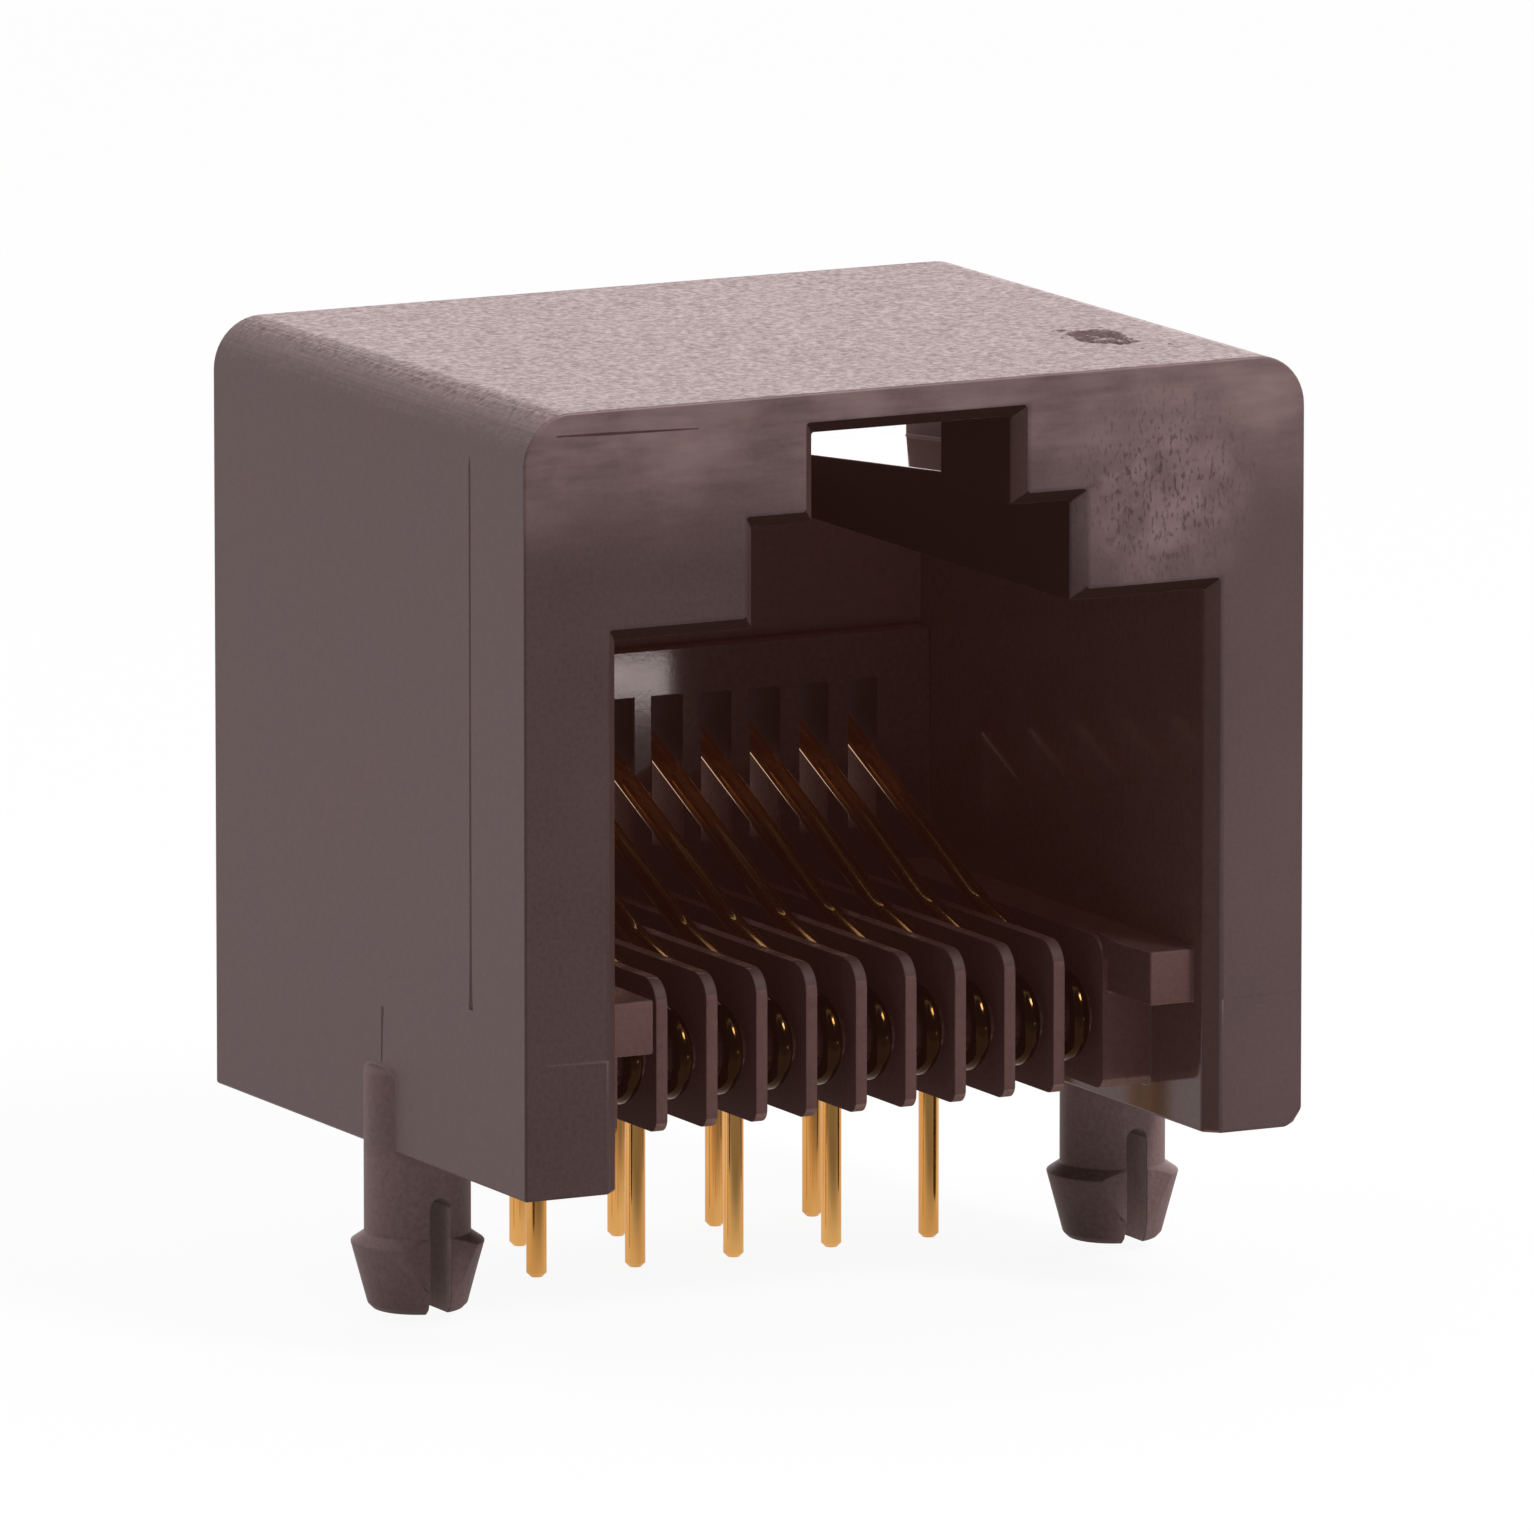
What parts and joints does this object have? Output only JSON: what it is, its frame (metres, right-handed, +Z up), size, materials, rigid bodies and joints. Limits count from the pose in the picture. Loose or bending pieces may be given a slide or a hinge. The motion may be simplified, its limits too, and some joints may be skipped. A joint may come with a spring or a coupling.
{
  "type": "modular jack",
  "caption": "Side-entry modular jack for a circuit board: a dark moulded housing with a stepped plug opening, split board pegs and a comb of gold spring wire contacts.",
  "frame": {"origin": "on the board plane, midway between the axes of the two board pegs", "axes": "+X to the right seen from the front, +Y from the plug opening to the rear, +Z up from the board"},
  "size_m": [0.0168, 0.0128, 0.0176],
  "materials": {
    "moulding": "fine spark-eroded grain outside, smooth inside",
    "contact_gold": "bright gold plating on drawn wire"
  },
  "bodies": {
    "root": {"housing": "moulding", "contact_01": "contact_gold", "contact_02": "contact_gold", "contact_03": "contact_gold", "contact_04": "contact_gold", "contact_05": "contact_gold", "contact_06": "contact_gold", "contact_07": "contact_gold", "contact_08": "contact_gold", "contact_09": "contact_gold", "contact_10": "contact_gold"}
  },
  "joints": []
}
